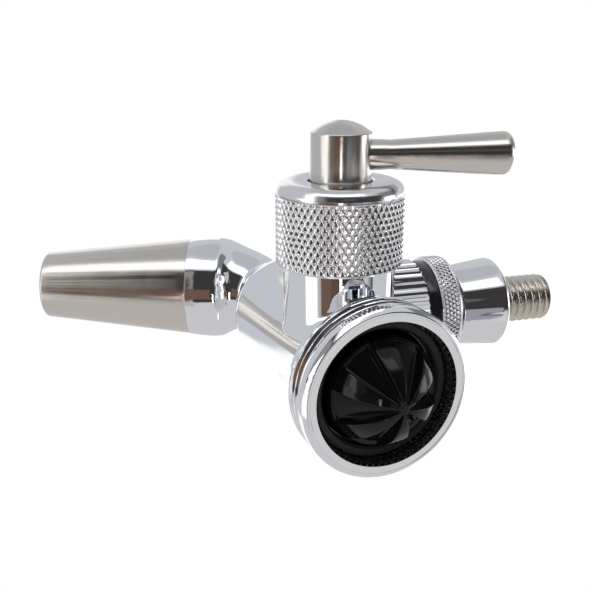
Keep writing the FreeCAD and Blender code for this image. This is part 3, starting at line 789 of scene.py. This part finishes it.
@dataclass
class InnerPieces:
    """The pieces that keep their CAD shape and get only their finish."""

    finishes: dict[str, Finish] = field(default_factory=lambda: {
        "inlet_seal": RUBBER, "nozzle_o_ring": RUBBER, "ball_o_ring": RUBBER, "bush_o_ring": RUBBER,
        "shaft_o_rings": RUBBER, "shuttle_o_ring": RUBBER, "shuttle": SATIN_BLACK, "ball_seat": ACETAL,
        "friction_ring": ACETAL, "thrust_washer": ACETAL, "shaft_bush": BRASS, "shaft_clip": CLIP_STEEL,
        "flow_shaft": brushed("turned_shaft_steel", BOSS), "eccentric_pin": LEVER_STEEL,
        "seal_retainer": brushed("turned_retainer_steel", INLET)})

    def build(self) -> None:
        """Dresses each CAD node that stays in sight of an open view or a cut."""
        for node, finish in self.finishes.items():
            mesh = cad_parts[node].data
            for number in range(max(len(mesh.materials), 1)):
                if number < len(mesh.materials):
                    mesh.materials[number] = finish.material()
                else:
                    mesh.materials.append(finish.material())
            log.info("%s keeps its CAD shape in %s", node, finish.name)


# ---- studio ----


@dataclass(frozen=True)
class Card:
    """A soft-edged panel of the studio, seen in the gloss.

    Angles are degrees about the lens: across is positive to its right and up is positive above it.
    """

    across: float
    up: float
    half_width: float
    half_height: float
    soft: float
    colour: Colour


@dataclass
class Studio:
    """The lens, the white room with its cards, the key light and the floor."""

    eye: Point = (55.393, 109.722, -57.591)
    right: Point = (0.000602, 0.358380, 0.933576)
    up: Point = (0.953137, -0.282648, 0.107888)
    ahead: Point = (-0.302538, -0.889761, 0.341756)
    focal: float = 52.353
    sensor: float = 36.0
    key_place: Point = (0.35, 0.10, 0.45)
    key_target: Point = (0, -0.03, 0)
    key_size: float = 0.35
    key_energy: float = 0.8
    floor_height: float = -66.0
    floor_radius: float = 350.0
    cards: tuple[Card, ...] = (
        Card(0, 90, 180, 20, 8, (0.50, 0.51, 0.53)),
        Card(0, -90, 180, 55, 6, (0.64, 0.62, 0.62)),
        Card(-5, 49, 50, 9, 3, (1.7, 1.7, 1.7)),
        Card(-54, 14, 7, 26, 3, (2.2, 2.2, 2.2)),
        Card(-68, -18, 11, 20, 4, (1.5, 1.5, 1.48)),
        Card(15, -1, 59, 34, 3, (0.045, 0.042, 0.040)),
        Card(-42, -29, 8, 14, 3, (0.50, 0.48, 0.46)),
        Card(-38, 12, 8, 18, 4, (0.30, 0.285, 0.28)),
        Card(-27, -19, 17, 9, 4, (0.16, 0.10, 0.075)),
        Card(-43, -10, 8, 2.5, 2, (0.18, 0.11, 0.09)),
        Card(14, 8, 9, 3, 3, (0.12, 0.12, 0.13)),
        Card(30, -32, 7, 14, 4, (0.34, 0.34, 0.38)),
        Card(-1, -28, 1.2, 9, 1, (9.0, 8.0, 7.2)),
        Card(57, -34, 12, 10, 6, (0.66, 0.66, 0.65)),
        Card(93, 33, 18, 12, 5, (0.20, 0.21, 0.22)),
        Card(93, 4, 9, 9, 3, (3.0, 3.0, 3.0)),
        Card(143, -5, 22, 13, 5, (2.0, 2.0, 2.0)),
        Card(-165, 12, 14, 28, 6, (1.1, 1.1, 1.1)),
    )
    walls: Colour = (0.60, 0.61, 0.64)

    def camera(self) -> None:
        """Places the lens."""
        lens = bpy.data.cameras.new("lens")
        lens.lens = self.focal
        lens.sensor_width = self.sensor
        lens.clip_start = 0.01
        lens.clip_end = 10.0
        eye = bpy.data.objects.new("lens", lens)
        columns = (Vector(self.right), Vector(self.up), -Vector(self.ahead), Vector(self.eye) * MM)
        matrix = Matrix.Identity(4)
        for number, column in enumerate(columns):
            for row in range(3):
                matrix[row][number] = column[row]
        eye.matrix_world = matrix
        bpy.context.scene.collection.objects.link(eye)
        bpy.context.scene.camera = eye

    def room(self) -> None:
        """Makes the white room, with its cards in the gloss only."""
        world = bpy.data.worlds.new("white_room")
        bpy.context.scene.world = world
        world.use_nodes = True
        world.node_tree.nodes.clear()
        sheet = NodeSheet(world.node_tree)
        way = sheet.add("ShaderNodeTexCoord", output="Generated")
        side, rise = sheet.dot(way, self.right), sheet.dot(way, self.up)
        facing = sheet.dot(way, tuple(-Vector(self.ahead)))
        across = sheet.math("DEGREES", sheet.math("ARCTAN2", side, facing))
        above = sheet.math("DEGREES", sheet.math("ARCSINE", rise))
        colour = (*self.walls, 1.0)
        for card in self.cards:
            off_side = sheet.math("ABSOLUTE", sheet.math("SUBTRACT", across, card.across))
            off_rise = sheet.math("ABSOLUTE", sheet.math("SUBTRACT", above, card.up))
            mask = sheet.math("MULTIPLY",
                              sheet.ramp(off_side, card.half_width, card.half_width + card.soft, 1.0, 0.0),
                              sheet.ramp(off_rise, card.half_height, card.half_height + card.soft, 1.0, 0.0))
            colour = sheet.blend(mask, colour, (*card.colour, 1.0))
        seen = sheet.add("ShaderNodeLightPath", output="Is Camera Ray")
        shown = sheet.blend(seen, colour, (1.0, 1.0, 1.0, 1.0))
        light = sheet.add("ShaderNodeBackground", {"Color": shown, "Strength": 1.0})
        sheet.add("ShaderNodeOutputWorld", {"Surface": light})
        bpy.context.scene.view_settings.view_transform = "Standard"

    def key_light(self) -> None:
        """Hangs one large soft light above the handle's side."""
        lamp = bpy.data.lights.new("key", "AREA")
        lamp.shape = "DISK"
        lamp.size = self.key_size
        lamp.energy = self.key_energy
        key = bpy.data.objects.new("key", lamp)
        key.location = self.key_place
        aim = Vector(self.key_target) - Vector(self.key_place)
        key.rotation_euler = aim.to_track_quat("-Z", "Y").to_euler()
        key.visible_camera = False
        key.visible_glossy = False
        bpy.context.scene.collection.objects.link(key)

    def floor(self) -> None:
        """Lays the pale round floor, which the gloss leaves out."""
        outline = Outline().line(0.0, -4.0).line(self.floor_radius - 2, -4.0)
        outline.arc(self.floor_radius - 2, 0.0, 2.0, 6).line(0.0, 0.0)
        slab = outline.turned("floor", 128)
        paint = Finish("pale_floor", (0.9, 0.9, 0.9), 0.0, (0.55, 0.7), mottle=0.02, mottle_scale=20.0,
                       grain_depth=4e-6)
        settle(slab, placed((0, -30, self.floor_height), "Z", 0), paint)
        slab.visible_glossy = False

    def build(self) -> None:
        """Builds the whole studio."""
        self.camera()
        self.room()
        self.key_light()
        self.floor()
        log.info("studio ready with %d cards", len(self.cards))


def main() -> None:
    """Builds the studio, then each sub-assembly in order."""
    logging.basicConfig(level=logging.INFO, format="%(name)s: %(message)s")
    for maker in (Studio(), Casting(), Spout(), FlowControl(), Bonnet(), Handle(), InnerPieces()):
        log.info("building %s", type(maker).__name__)
        maker.build()


if __name__ == "__main__":
    main()
